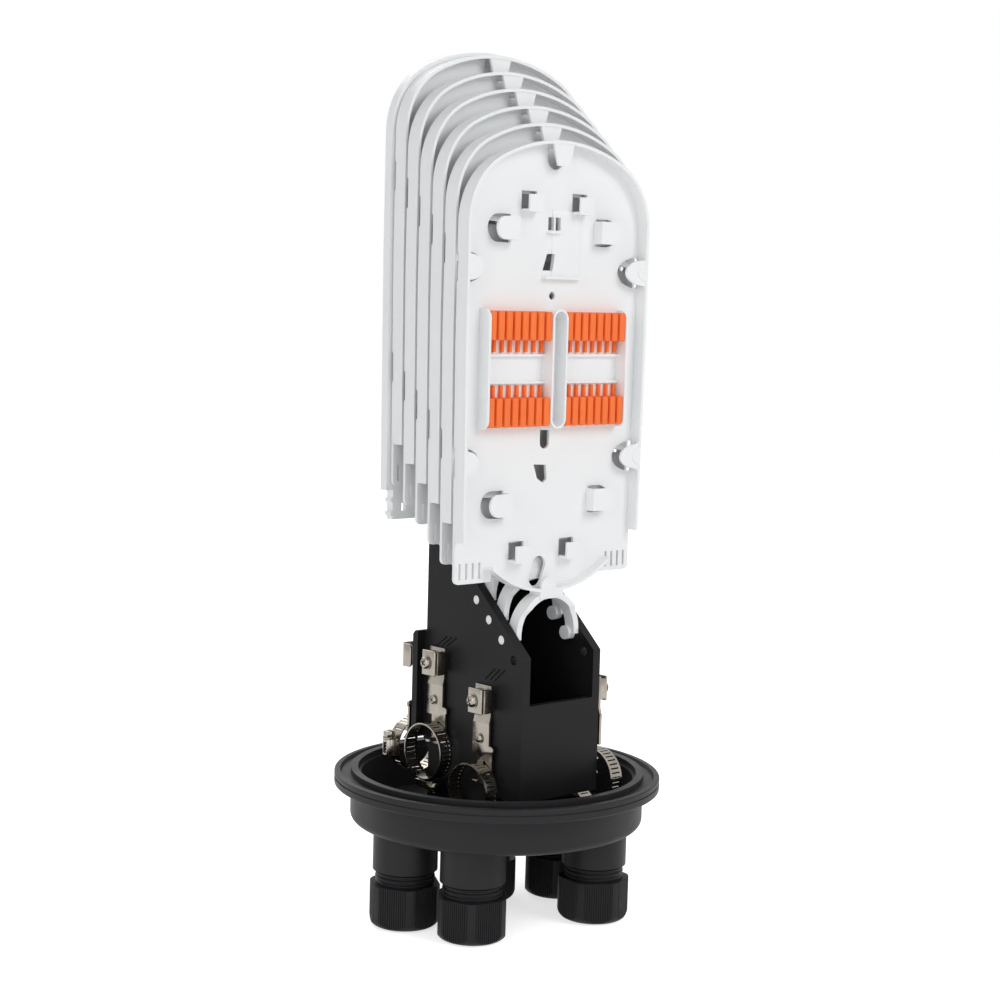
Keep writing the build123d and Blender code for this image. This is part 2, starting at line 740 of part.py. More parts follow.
with BuildPart() as housing:
    with BuildSketch(Plane.YZ.offset(-housing_length / 2)):
        with Locations((-ring_radius - housing_height, ring_width / 2)):
            Rectangle(housing_height + 1, housing_width, align=(Align.MIN, Align.CENTER))
    extrude(amount=housing_length)
    fillet(housing.edges().filter_by(Axis.X).group_by(Axis.Y)[0], housing_rounding)
    with BuildSketch(Plane.XY.offset((ring_width - housing_width) / 2)):
        Circle(ring_radius)
    extrude(amount=housing_width, mode=Mode.SUBTRACT)
    with BuildSketch(Plane.YZ.offset(-housing_length / 2)):
        with Locations((-worm_centre, ring_width / 2)):
            Circle(worm_radius + worm_clearance)
    extrude(amount=housing_length, mode=Mode.SUBTRACT)

with BuildPart() as worm:
    with BuildSketch(Plane.YZ.offset(-housing_length / 2)):
        with Locations((-worm_centre, ring_width / 2)):
            Circle(worm_radius)
    extrude(amount=housing_length + worm_head_gap)
    with BuildSketch(Plane.YZ.offset(housing_length / 2 + worm_head_gap)):
        with Locations((-worm_centre, ring_width / 2)):
            RegularPolygon(worm_head_radius, 6)
    extrude(amount=worm_head_length)
    with BuildSketch(Plane.YZ.offset(housing_length / 2 + worm_head_gap + worm_head_length)):
        with Locations((-worm_centre, ring_width / 2)):
            Rectangle(2 * worm_head_radius, worm_slot_width)
    extrude(amount=-worm_slot_depth, mode=Mode.SUBTRACT)

anchor_screws = []
for number, (place, turn) in enumerate(anchors, start=1):
    ring_place = place.location * Location((ring_x, ring_drop, ring_low)) * Location((0, 0, 0), (0, 0, turn))
    write(place.location * strip.part, "bracket_" + str(number))
    write(place.location * block.part, "clamp_block_" + str(number))
    write(ring_place * band.part, "hose_band_" + str(number))
    write(ring_place * housing.part, "worm_housing_" + str(number))
    write(ring_place * worm.part, "worm_screw_" + str(number))
    block_face = place.location * Location((block_screw_shift, 0, strip_thickness + block_depth))
    seat = Plane(block_face)
    anchor_screws.append(cross_head(seat, strip_thickness + block_depth + plate_screw_grip))
write(Compound(children=anchor_screws), "anchor_screws")
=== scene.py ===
import math
import bpy
from mathutils import Matrix, Vector


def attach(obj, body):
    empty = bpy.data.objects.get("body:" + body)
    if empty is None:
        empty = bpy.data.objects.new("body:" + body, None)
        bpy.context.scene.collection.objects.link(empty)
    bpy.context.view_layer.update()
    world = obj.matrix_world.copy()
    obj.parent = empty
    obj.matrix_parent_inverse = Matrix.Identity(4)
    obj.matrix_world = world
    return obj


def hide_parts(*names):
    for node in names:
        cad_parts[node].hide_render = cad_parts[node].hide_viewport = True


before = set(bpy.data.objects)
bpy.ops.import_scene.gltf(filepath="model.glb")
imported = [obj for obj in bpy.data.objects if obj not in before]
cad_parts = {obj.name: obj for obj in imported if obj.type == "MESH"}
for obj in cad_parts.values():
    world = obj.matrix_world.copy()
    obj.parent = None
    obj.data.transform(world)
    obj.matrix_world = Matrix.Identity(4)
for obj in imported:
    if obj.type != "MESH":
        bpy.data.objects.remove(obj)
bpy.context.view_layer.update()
print("frame loaded:", len(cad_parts), "nodes")


def hexColour(text):
    # sRGB hex to the linear values that shaders take
    out = []
    for i in (0, 2, 4):
        c = int(text[i:i + 2], 16) / 255
        out.append(c / 12.92 if c <= 0.04045 else ((c + 0.055) / 1.055) ** 2.4)
    return (*out, 1.0)


def addNode(mat, kind, settings=None, links=None):
    # one node with its settings, and links as {input name: output socket}
    node = mat.node_tree.nodes.new(kind)
    for key, value in (settings or {}).items():
        if key in node.bl_rna.properties:
            setattr(node, key, value)
        else:
            node.inputs[key].default_value = value
    for key, socket in (links or {}).items():
        link(mat, socket, node.inputs[key])
    return node


def link(mat, fromSocket, toSocket):
    mat.node_tree.links.new(fromSocket, toSocket)


def newMaterial(name):
    mat = bpy.data.materials.new(name)
    mat.use_nodes = True
    mat.node_tree.nodes.clear()
    out = addNode(mat, "ShaderNodeOutputMaterial")
    shader = addNode(mat, "ShaderNodeBsdfPrincipled")
    link(mat, shader.outputs[0], out.inputs[0])
    coords = addNode(mat, "ShaderNodeTexCoord").outputs["Object"]
    return mat, shader, coords


# shaping helpers, in millimetres; pieces are cut and joined with small offsets,
# so that no two faces of a boolean coincide


def startClean():
    if bpy.context.object and bpy.context.object.mode != "OBJECT":
        bpy.ops.object.mode_set(mode="OBJECT")
    bpy.ops.object.select_all(action="DESELECT")


def onlyObject(obj):
    startClean()
    obj.select_set(True)
    bpy.context.view_layer.objects.active = obj


def addBox(low, high):
    startClean()
    middle = [(a + b) / 2 for a, b in zip(low, high)]
    size = [b - a for a, b in zip(low, high)]
    bpy.ops.mesh.primitive_cube_add(size=1, location=middle, scale=size)
    obj = bpy.context.object
    bpy.ops.object.transform_apply(location=True, rotation=True, scale=True)
    return obj


def faceOutwards():
    # for the mesh in edit mode, which leaves it
    bpy.ops.mesh.select_all(action="SELECT")
    bpy.ops.mesh.normals_make_consistent(inside=False)
    bpy.ops.object.mode_set(mode="OBJECT")


def addPrism(outline, axis, low, high):
    # a filled circle whose points move onto the outline, extruded along the axis
    startClean()
    bpy.ops.mesh.primitive_circle_add(vertices=len(outline), radius=1, fill_type="NGON")
    obj = bpy.context.object
    order = {
        "x": lambda u, v, w: (w, u, v),
        "y": lambda u, v, w: (u, w, v),
        "z": lambda u, v, w: (u, v, w),
    }[axis]
    for vertex, (u, v) in zip(obj.data.vertices, outline):
        vertex.co = order(u, v, low)
    bpy.ops.object.mode_set(mode="EDIT")
    bpy.ops.mesh.select_all(action="SELECT")
    move = order(0, 0, high - low)
    bpy.ops.mesh.extrude_region_move(TRANSFORM_OT_translate={"value": move})
    faceOutwards()
    return obj


def addLathe(profile, steps):
    # a closed profile of (radius, height) points spun round the Z axis; a solid piece
    # keeps its innermost points a hundredth of a millimetre off the axis
    startClean()
    bpy.ops.mesh.primitive_circle_add(vertices=len(profile), radius=1)
    obj = bpy.context.object
    for vertex, (r, z) in zip(obj.data.vertices, profile):
        vertex.co = (r, 0, z)
    bpy.ops.object.mode_set(mode="EDIT")
    bpy.ops.mesh.select_all(action="SELECT")
    bpy.ops.mesh.spin(steps=steps, angle=2 * math.pi, center=(0, 0, 0), axis=(0, 0, 1))
    bpy.ops.mesh.select_all(action="SELECT")
    bpy.ops.mesh.remove_doubles(threshold=0.001)
    faceOutwards()
    return obj


def arcPoints(centre, radius, start, end, count):
    out = []
    for i in range(count + 1):
        a = math.radians(start + (end - start) * i / count)
        out.append((centre[0] + radius * math.cos(a), centre[1] + radius * math.sin(a)))
    return out


def circlePoints(centre, radius, count):
    return arcPoints(centre, radius, 0, 360 - 360 / count, count - 1)


def roundEnded(centre, radius, end, start, turn, count):
    # an arc closed by straight sides that run to the height of the end
    points = arcPoints(centre, radius, start, start + turn, count)
    return [(points[0][0], end)] + points + [(points[-1][0], end)]


def span(side, a, b):
    # two distances from the middle as low and high, on the side -1 or 1
    return sorted((side * a, side * b))


def joinAll(objects):
    onlyObject(objects[0])
    for obj in objects:
        obj.select_set(True)
    if len(objects) > 1:
        bpy.ops.object.join()
    return bpy.context.object


def combine(obj, tool, how):
    onlyObject(obj)
    change = obj.modifiers.new("combine", "BOOLEAN")
    change.operation = how
    change.solver = "EXACT"
    change.object = tool
    bpy.ops.object.modifier_apply(modifier=change.name)
    bpy.data.objects.remove(tool)
    return obj


def roundEdges(obj, width, segments=2, angle=40):
    onlyObject(obj)
    change = obj.modifiers.new("roundEdges", "BEVEL")
    change.width = width
    change.segments = segments
    change.limit_method = "ANGLE"
    change.angle_limit = math.radians(angle)
    bpy.ops.object.modifier_apply(modifier=change.name)
    return obj


def copyNode(name, place):
    # a merged copy of a CAD node, in millimetres about the given place
    startClean()
    obj = bpy.data.objects.new("copy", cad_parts[name].data.copy())
    bpy.context.scene.collection.objects.link(obj)
    onlyObject(obj)
    bpy.ops.mesh.customdata_custom_splitnormals_clear()
    bpy.ops.object.mode_set(mode="EDIT")
    bpy.ops.mesh.select_all(action="SELECT")
    bpy.ops.mesh.remove_doubles(threshold=0.000002)
    bpy.ops.object.mode_set(mode="OBJECT")
    obj.data.transform(Matrix.Translation([-c for c in place]) @ Matrix.Scale(1000, 4))
    return obj


def copyPiece(obj):
    other = bpy.data.objects.new("copy", obj.data.copy())
    bpy.context.scene.collection.objects.link(other)
    return other


def finishPiece(obj, name, material, body, nodes=(), place=None, smooth=35):
    # settle a millimetre mesh at its place in metres, dress it and hang it on its body
    obj.data.transform(Matrix.Scale(0.001, 4) @ (place or Matrix.Identity(4)))
    obj.name = name
    obj.data.name = name
    obj.data.materials.clear()
    obj.data.materials.append(made[material])
    onlyObject(obj)
    bpy.ops.object.shade_smooth_by_angle(angle=math.radians(smooth))
    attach(obj, body)
    if nodes:
        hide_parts(*nodes)
    return obj


# camera, matched to the photograph


camera = {
    "place": (-0.70535, -0.78911, 0.32583),
    "azimuth": -41.67,
    "elevation": 5.79,
    "roll": 1.55,
    "lens": 73.2,
    "sensor": 36.0,
    "clipStart": 0.05,
}


def makeCamera():
    data = bpy.data.cameras.new("camera")
    data.lens = camera["lens"]
    data.sensor_width = camera["sensor"]
    data.clip_start = camera["clipStart"]
    obj = bpy.data.objects.new("camera", data)
    bpy.context.scene.collection.objects.link(obj)
    a = math.radians(camera["azimuth"])
    e = math.radians(camera["elevation"])
    back = Vector((math.sin(a) * math.cos(e), -math.cos(a) * math.cos(e), math.sin(e)))
    right = Vector((math.cos(a), math.sin(a), 0))
    turned = Matrix.Rotation(math.radians(camera["roll"]), 3, back) @ right
    up = back.cross(turned)
    facing = Matrix((turned, up, back)).transposed().to_4x4()
    obj.matrix_world = Matrix.Translation(camera["place"]) @ facing
    bpy.context.scene.camera = obj


# materials; sizes of their grain and clouds are in millimetres


def noiseScale(size):
    return 1000 / size


def addClouds(mat, shader, coords, spec, detail):
    # slow patches that carry the two tones and the range of gloss; the noise by itself
    # seldom leaves 0.3 to 0.7
    cloud = addNode(mat, "ShaderNodeTexNoise",
                    {"Scale": noiseScale(spec["cloudMm"]), "Detail": detail}, {"Vector": coords})
    low, high = spec["gloss"]
    gloss = addNode(mat, "ShaderNodeMapRange",
                    {"From Min": 0.3, "From Max": 0.7, "To Min": low, "To Max": high},
                    {"Value": cloud.outputs[0]})
    tone = addNode(mat, "ShaderNodeMix", {"data_type": "RGBA"})
    tone.inputs["A"].default_value = hexColour(spec["colours"][0])
    tone.inputs["B"].default_value = hexColour(spec["colours"][1])
    link(mat, cloud.outputs[0], tone.inputs["Factor"])
    link(mat, tone.outputs["Result"], shader.inputs["Base Color"])
    link(mat, gloss.outputs[0], shader.inputs["Roughness"])


def makeMouldedPlastic(name, spec):
    # moulded plastic or rubber: a spark-eroded grain that spreads the highlight, a quarter
    # as deep as it is wide and drawn coarser than the real one, so that it shows
    mat, shader, coords = newMaterial(name)
    addClouds(mat, shader, coords, spec, 3.0)
    grain = addNode(mat, "ShaderNodeTexNoise",
                    {"Scale": noiseScale(spec["grainMm"]), "Detail": 2.0, "Roughness": 0.6},
                    {"Vector": coords})
    bump = addNode(mat, "ShaderNodeBump",
                   {"Strength": spec["grainDepth"], "Distance": spec["grainMm"] / 4000},
                   {"Height": grain.outputs[0]})
    link(mat, bump.outputs[0], shader.inputs["Normal"])
    shader.inputs["IOR"].default_value = 1.5
    shader.inputs["Specular IOR Level"].default_value = spec.get("sheen", 0.5)
    shader.inputs["Subsurface Weight"].default_value = spec.get("milky", 0.0)
    shader.inputs["Subsurface Radius"].default_value = (0.004, 0.004, 0.004)
    shader.inputs["Subsurface Scale"].default_value = 0.5
    return mat


def makePlatedSteel(name, spec):
    # nickel-plated steel strip: warm, with cloudy gloss and faint rolling lines, which are
    # drawn coarser than the real ones, so that they show
    mat, shader, coords = newMaterial(name)
    addClouds(mat, shader, coords, spec, 4.0)
    lines = addNode(mat, "ShaderNodeMapping", {"Scale": (1.0, 1.0, spec["lineSquash"])},
                    {"Vector": coords})
    rolled = addNode(mat, "ShaderNodeTexNoise",
                     {"Scale": noiseScale(spec["lineMm"]), "Detail": 2.0},
                     {"Vector": lines.outputs[0]})
    bump = addNode(mat, "ShaderNodeBump",
                   {"Strength": spec["lineDepth"], "Distance": spec["lineRise"]},
                   {"Height": rolled.outputs[0]})
    link(mat, bump.outputs[0], shader.inputs["Normal"])
    shader.inputs["Metallic"].default_value = 1.0
    return mat


materials = {
    "baseBlackAbsMoulded": {
        "make": makeMouldedPlastic, "colours": ("1d1d1f", "252527"), "gloss": (0.42, 0.55),
        "cloudMm": 30, "grainMm": 0.5, "grainDepth": 0.35, "sheen": 0.2},
    "frameBlackNylonMoulded": {
        "make": makeMouldedPlastic, "colours": ("161617", "1e1e20"), "gloss": (0.34, 0.48),
        "cloudMm": 25, "grainMm": 0.4, "grainDepth": 0.25, "sheen": 0.13},
    "nutBlackNylonMoulded": {
        "make": makeMouldedPlastic, "colours": ("1a1a1c", "222224"), "gloss": (0.45, 0.6),
        "cloudMm": 12, "grainMm": 0.6, "grainDepth": 0.4, "sheen": 0.2},
    "sealBlackRubber": {
        "make": makeMouldedPlastic, "colours": ("131313", "1a1a1b"), "gloss": (0.7, 0.85),
        "cloudMm": 8, "grainMm": 0.8, "grainDepth": 0.4, "sheen": 0.2},
    "trayWhiteAbsMoulded": {
        "make": makeMouldedPlastic, "colours": ("eceeef", "f4f5f6"), "gloss": (0.28, 0.4),
        "cloudMm": 40, "grainMm": 0.5, "grainDepth": 0.06, "milky": 0.12},
    "combOrangeElastomerMoulded": {
        "make": makeMouldedPlastic, "colours": ("f26a1f", "fb7e38"), "gloss": (0.45, 0.6),
        "cloudMm": 15, "grainMm": 0.6, "grainDepth": 0.2, "milky": 0.1},
    "anchorSteelNickelPlated": {
        "make": makePlatedSteel, "colours": ("857f77", "aaa49b"), "gloss": (0.14, 0.28),
        "cloudMm": 6, "lineMm": 0.3, "lineSquash": 0.06, "lineDepth": 0.25, "lineRise": 0.00002},
}
made = {name: spec["make"](name, spec) for name, spec in materials.items()}
print("materials:", len(made))


nodeMaterials = {
    "base": "baseBlackAbsMoulded",
    "frame": "frameBlackNylonMoulded",
    "rear_plate": "trayWhiteAbsMoulded",
    "tray": "trayWhiteAbsMoulded",
    "splice_holder": "combOrangeElastomerMoulded",
    "gland_nut": "nutBlackNylonMoulded",
    "gland_seal": "sealBlackRubber",
    "frame_screws": "anchorSteelNickelPlated",
    "anchor_screws": "anchorSteelNickelPlated",
    "bracket": "anchorSteelNickelPlated",
    "clamp_block": "anchorSteelNickelPlated",
    "hose_band": "anchorSteelNickelPlated",
    "worm_housing": "anchorSteelNickelPlated",
    "worm_screw": "anchorSteelNickelPlated",
}


def dressCadNodes():
    for name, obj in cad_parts.items():
        stem = name.rstrip("0123456789").rstrip("_")
        obj.data.materials.clear()
        obj.data.materials.append(made[nodeMaterials[stem]])


dressCadNodes()
print("CAD nodes dressed")


# splice trays: the CAD tray with thin tongue hooks over open slots in its floor;
# its hinge is the origin, the back of the floor lies at y = 0 and the front towards -y


tray = {
    "count": 6,
    "hinge": (0, -30.4, 151.3),
    "step": (0, 10.0, 9.0),
    "floor": 1.6,
    "depth": 8.2,
    "sink": 0.3,
    "inner": 60.4,
    "halfWidth": 62.0,
    "footHalfWidth": 60.4,
    "footInner": 40.6,
    "footTop": 46.0,
    "shoulder": (25.594, 209.0, 36.406),
    "crown": (158.3, 93.2),
    "crownTurn": 63.2,
    "belly": (90.6, 67.0),
    "upperFrom": 168.6,
    "lowerTo": 106.4,
    "clearMargin": 1.65,
    "patchMargin": 0.9,
    "over": 1,
    "deepCut": 2.6,
    "floorCut": 1.7,
    "hookFront": 7.8,
    "tongue": 1.4,
    "postBack": 0.2,
    "squareHooks": ((-17.4, 221.4), (17.4, 221.4), (-19.9, 45.6), (14.9, 45.6)),
    "squareHole": (10.2, 9.0),
    "squareTongue": (9.4, 7.2),
    "roundHooks": ((-1, 206.9), (1, 206.9), (-1, 69.4), (1, 69.4)),
    "roundRoot": 29.5,
    "roundHole": (44.4, 14.0),
    "roundTongue": (43.0, 11.5),
    "sideHooks": ((-1, 187.2), (1, 187.2), (-1, 91.2), (1, 91.2)),
    "sideRoot": 0.6,
    "sideHole": (14.4, 8.1),
    "sideSlit": (60.2, 63.0, 0.7, 7.3),
    "slitOver": 1.3,
    "sideTongue": {-1: (9.4, 6.4), 1: (13.6, 6.7)},
    "sidePad": (5.4, 4.3),
    "crownNotch": ((0, 242.8), 5.6, 249.6),
    "crownTongue": ((-7, 250.6), (-7, 249.4), (-3.6, 239), (3.6, 239), (7, 249.4), (7, 250.6)),
    "footSlot": {"place": (-5, 34.0), "lean": 20, "radius": 4.4, "half": 3.6},
    "footTongue": ((-2, 26.9), 4.8, 25.0),
    "twinSlots": (2.3, 1.7, 207.0, 213.5),
    "bluntSlot": ((-2.35, 99.8), 3.15, 106.2),
    "taperSlots": (((-9.4, 88.8), (-6.8, 81.6), (-2.5, 79.2), (-0.1, 81.2), (-0.9, 88.4)),
                   ((-4.2, 195.2), (-7.1, 186.8), (-0.7, 186.8), (0.6, 195.2))),
    "pinHole": ((0, 174.2), 2.0),
    "panel": (-1.3, 18.1, -2.2, 183.4, 217.0),
    "panelEdge": 0.25,
    "ledges": ((-7.4, 18.1, -4.8, 182.6, 183.8), (-4.6, 4.0, -4.2, 205.4, 206.6)),
    "holderFront": 9.0,
    "holderHalf": 48.0,
    "holderWall": 1.45,
    "holderHeight": (107.25, 167.55),
    "holderCorner": 5.0,
    "ribPlaces": (130.6, 144.2),
    "rib": (4.9, 47.0, 3.6, 0.6),
}


def trayOutline(margin, low):
    # the upper arch, drawn inwards by a margin and closed at a height
    cx, cz, r = tray["shoulder"]
    top, big = tray["crown"]
    turn = tray["crownTurn"]
    side = tray["halfWidth"] - margin
    points = [(side, low)]
    points += arcPoints((cx, cz), r - margin, 0, turn, 14)
    points += arcPoints((0, top), big - margin, turn, 180 - turn, 24)[1:]
    points += arcPoints((-cx, cz), r - margin, 180 - turn, 180, 14)[1:]
    points += [(-side, low)]
    return points


def lowerOutline(margin, high):
    # the lower field between the holder and the round belly, clear of the feet
    centre, r = tray["belly"]
    side = tray["footHalfWidth"] - margin
    reach, top = tray["footInner"] - margin, tray["footTop"]
    turn = math.degrees(math.acos(reach / (r - margin)))
    points = [(-side, high), (-side, top), (-reach, top)]
    points += arcPoints((0, centre), r - margin, 180 + turn, 360 - turn, 28)
    points += [(reach, top), (side, top), (side, high)]
    return points


def bothFields(margin, near, far):
    # prisms over the upper and the lower field of the tray's floor
    return joinAll([addPrism(trayOutline(margin, tray["upperFrom"]), "y", near, far),
                    addPrism(lowerOutline(margin, tray["lowerTo"]), "y", near, far)])


def capsule(side, root, tip, height):
    # straight from the root, round at the tip, pointing outwards
    r = height / 2
    middle = tip - r
    points = [(root, -r)] + arcPoints((middle, 0), r, -90, 90, 12) + [(root, r)]
    return [(side * x, z) for x, z in points]


def halfEllipse(side, reach, half):
    # from the side wall towards the middle
    root = tray["sideRoot"]
    points = arcPoints((0, 0), 1, 90, 270, 20)
    return [(side * (tray["inner"] + root + x * (reach + root)), z * half) for x, z in points]


def raised(points, dz):
    return [(x, z + dz) for x, z in points]


def floorCutter(points, depth):
    return addPrism(points, "y", -depth, tray["over"])


def floorBox(x, z, halfWidth, low, high):
    return addBox((x - halfWidth, -tray["deepCut"], z + low),
                  (x + halfWidth, tray["over"], z + high))


def leaningSlot():
    # a long hole with round ends, leaning to one side
    slot = tray["footSlot"]
    (x0, z0), r, half = slot["place"], slot["radius"], slot["half"]
    cos, sin = math.cos(math.radians(slot["lean"])), math.sin(math.radians(slot["lean"]))
    points = arcPoints((0, half), r, 0, 180, 10) + arcPoints((0, -half), r, 180, 360, 10)
    return [(x0 + x * cos + z * sin, z0 - x * sin + z * cos) for x, z in points]


def trayOpenings():
    # the mould's openings under the tongues, and the slots down the middle
    deep, through = tray["deepCut"], tray["floorCut"]
    tools = []
    w, h = tray["squareHole"]
    for x, z in tray["squareHooks"]:
        tools.append(floorBox(x, z, w / 2, -h / 2, h / 2))
    tip, height = tray["roundHole"]
    for side, z in tray["roundHooks"]:
        points = raised(capsule(side, tray["roundRoot"], tip, height), z)
        tools.append(floorCutter(points, deep))
    reach, half = tray["sideHole"]
    inside, outside, slitDeep, tall = tray["sideSlit"]
    for side, z in tray["sideHooks"]:
        hole = floorCutter(raised(halfEllipse(side, reach, half), z), through)
        low, high = span(side, inside, outside)
        slit = addBox((low, -slitDeep, z - tall), (high, tray["slitOver"], z + tall))
        tools.append(combine(hole, slit, "UNION"))
    tools.append(floorCutter(roundEnded(*tray["crownNotch"], 0, -180, 12), through))
    tools.append(floorCutter(leaningSlot(), through))
    apart, halfWidth, low, high = tray["twinSlots"]
    for side in (-1, 1):
        tools.append(floorBox(side * apart, 0, halfWidth, low, high))
    tools.append(floorCutter(roundEnded(*tray["bluntSlot"], 180, 180, 10), deep))
    for points in tray["taperSlots"]:
        tools.append(floorCutter(points, deep))
    tools.append(floorCutter(circlePoints(*tray["pinHole"], 24), deep))
    return joinAll(tools)


def trayHooks():
    # square, round and side hooks, then the tongues at the crown and the foot
    front, thin, floor = -tray["hookFront"], tray["tongue"], -tray["floor"] + tray["sink"]
    tools = []
    w, h = tray["squareTongue"]
    hole = tray["squareHole"][1]
    for x, z in tray["squareHooks"]:
        low = z - hole / 2
        outline = [(floor, low), (floor, low - thin), (front, low - thin), (front, low + h),
                   (front + thin, low + h), (front + thin, low)]
        tools.append(addPrism(outline, "x", x - w / 2, x + w / 2))
    tip, height = tray["roundTongue"]
    root = tray["roundRoot"]
    for side, z in tray["roundHooks"]:
        low, high = span(side, root - thin, root)
        post = addBox((low, front + tray["postBack"], z - height / 2),
                      (high, floor, z + height / 2))
        tongue = addPrism(raised(capsule(side, root - thin, tip, height), z), "y",
                          front, front + thin)
        tools.append(combine(tongue, post, "UNION"))
    for side, z in tray["sideHooks"]:
        tongue = addPrism(raised(halfEllipse(side, *tray["sideTongue"][side]), z), "y",
                          front, front + thin)
        pad = addPrism(raised(halfEllipse(side, *tray["sidePad"]), z), "y",
                       -tray["depth"], front + tray["sink"])
        tools.append(combine(tongue, pad, "UNION"))
    for points in (tray["crownTongue"], roundEnded(*tray["footTongue"], 0, 180, 12)):
        tools.append(addPrism(points, "y", front, front + thin))
    return joinAll(tools)


def trayPanels():
    # label panel and the two small ledges across its lower edge and its middle
    def onFloor(left, right, front, low, high):
        return addBox((left, front, low), (right, -tray["floor"] + tray["sink"], high))

    panel = roundEdges(onFloor(*tray["panel"]), tray["panelEdge"])
    return combine(panel, joinAll([onFloor(*ledge) for ledge in tray["ledges"]]), "UNION")


def holderCorners():
    # cutters that round the front corners of the holder's end walls
    r, front, half = tray["holderCorner"], -tray["holderFront"], tray["holderHalf"]
    corners = []
    for z, way in ((tray["holderHeight"][1], 1), (tray["holderHeight"][0], -1)):
        curve = arcPoints((front + r, z - way * r), r, 180, 180 - way * 90, 10)
        points = [(front - 1, z - way * r)] + curve + [(front + r, z + way), (front - 1, z + way)]
        for side in (-1, 1):
            low, high = span(side, half - tray["holderWall"], half + 0.5)
            corners.append(addPrism(points, "x", low, high))
    return joinAll(corners)


def holderRibs():
    inner, outer, front, half = tray["rib"]
    ribs = []
    for z in tray["ribPlaces"]:
        for side in (-1, 1):
            low, high = span(side, inner, outer)
            ribs.append(addBox((low, -front, z - half), (high, -tray["floor"] + 0.2, z + half)))
    return joinAll(ribs)


def makeTray():
    floor, depth = tray["floor"], tray["depth"]
    body = copyNode("tray_1", tray["hinge"])
    combine(body, bothFields(tray["clearMargin"], -depth - 1, -floor - 0.01), "DIFFERENCE")
    combine(body, bothFields(tray["patchMargin"], -floor + 0.01, -0.01), "UNION")
    combine(body, trayPanels(), "UNION")
    combine(body, trayOpenings(), "DIFFERENCE")
    combine(body, trayHooks(), "UNION")
    combine(body, holderCorners(), "DIFFERENCE")
    return combine(body, holderRibs(), "UNION")


def placeAt(number):
    return Matrix.Translation([a + (number - 1) * b for a, b in zip(tray["hinge"], tray["step"])])


trayShape = makeTray()
for number in range(tray["count"], 0, -1):
    shape = copyPiece(trayShape) if number > 1 else trayShape
    finishPiece(shape, "spliceTray%d" % number, "trayWhiteAbsMoulded", "tray_body_%d" % number,
                ["tray_%d" % number], placeAt(number))
print("trays:", len(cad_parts["tray_1"].data.polygons), "CAD faces,",
      len(shape.data.polygons), "now")


# splice holder combs: rounded ridges on a thin base, with short fins into the middle


comb = {
    "inner": 5.35,
    "outer": 46.45,
    "height": 14.6,
    "base": 2.8,
    "front": 8.6,
    "count": 8,
    "gap": 1.35,
    "low": 108.55,
    "high": 166.25,
    "fin": (1.6, 6.0, 3.4),
    "finRoot": 0.8,
    "rounding": 0.8,
}


def makeComb():
    # the lower right comb, its fins upwards
    floor = -tray["floor"] - 0.01
    pitch = (comb["outer"] - comb["inner"] + comb["gap"]) / comb["count"]
    ridgeWidth = pitch - comb["gap"]
    low, high = comb["low"], comb["low"] + comb["height"]
    base = addBox((comb["inner"], -comb["base"], low), (comb["outer"], floor, high))
    ridges, fins = [], []
    width, length, front = comb["fin"]
    for i in range(comb["count"]):
        x = comb["inner"] + i * pitch
        ridge = addBox((x, -comb["front"], low + 0.01), (x + ridgeWidth, floor - 0.2, high - 0.01))
        ridges.append(roundEdges(ridge, comb["rounding"], segments=3))
        middle = x + ridgeWidth / 2
        fins.append(addBox((middle - width / 2, -front, high - comb["finRoot"]),
                           (middle + width / 2, floor, high + length)))
    combine(base, joinAll(ridges), "UNION")
    return combine(base, joinAll(fins), "UNION")


def makeCombs():
    # four combs: the lower right one and its mirror images
    lower = makeComb()
    upper = copyPiece(lower)
    mirror = Matrix.Scale(-1, 4, (0, 0, 1))
    upper.data.transform(Matrix.Translation((0, 0, comb["low"] + comb["high"])) @ mirror)
    pair = [lower, upper]
    for one in (lower, upper):
        other = copyPiece(one)
        other.data.transform(Matrix.Scale(-1, 4, (1, 0, 0)))
        pair.append(other)
    combs = joinAll(pair)
    bpy.ops.object.mode_set(mode="EDIT")
    faceOutwards()
    return combs


combShape = makeCombs()
for number in range(tray["count"], 0, -1):
    shape = copyPiece(combShape) if number > 1 else combShape
    finishPiece(shape, "spliceCombs%d" % number, "combOrangeElastomerMoulded",
                "tray_body_%d" % number, ["splice_holder_%d" % number],
                placeAt(number))
print("splice combs:", tray["count"], "sets")


# rear plate: the CAD dish with stepped lower ears


rearPlate = {
    "place": (0, 19.6, 196.3),
    "half": 62.3,
    "ear": 58.1,
    "shoulder": 28.3,
    "low": 13.1,
    "back": (0.9, 5.7),
    "wall": 2.4,
    "nubs": (22.9, 16.1),
    "nubRadius": 1.4,
    "window": (51.0, 19.2, 3.0, 4.2),
}


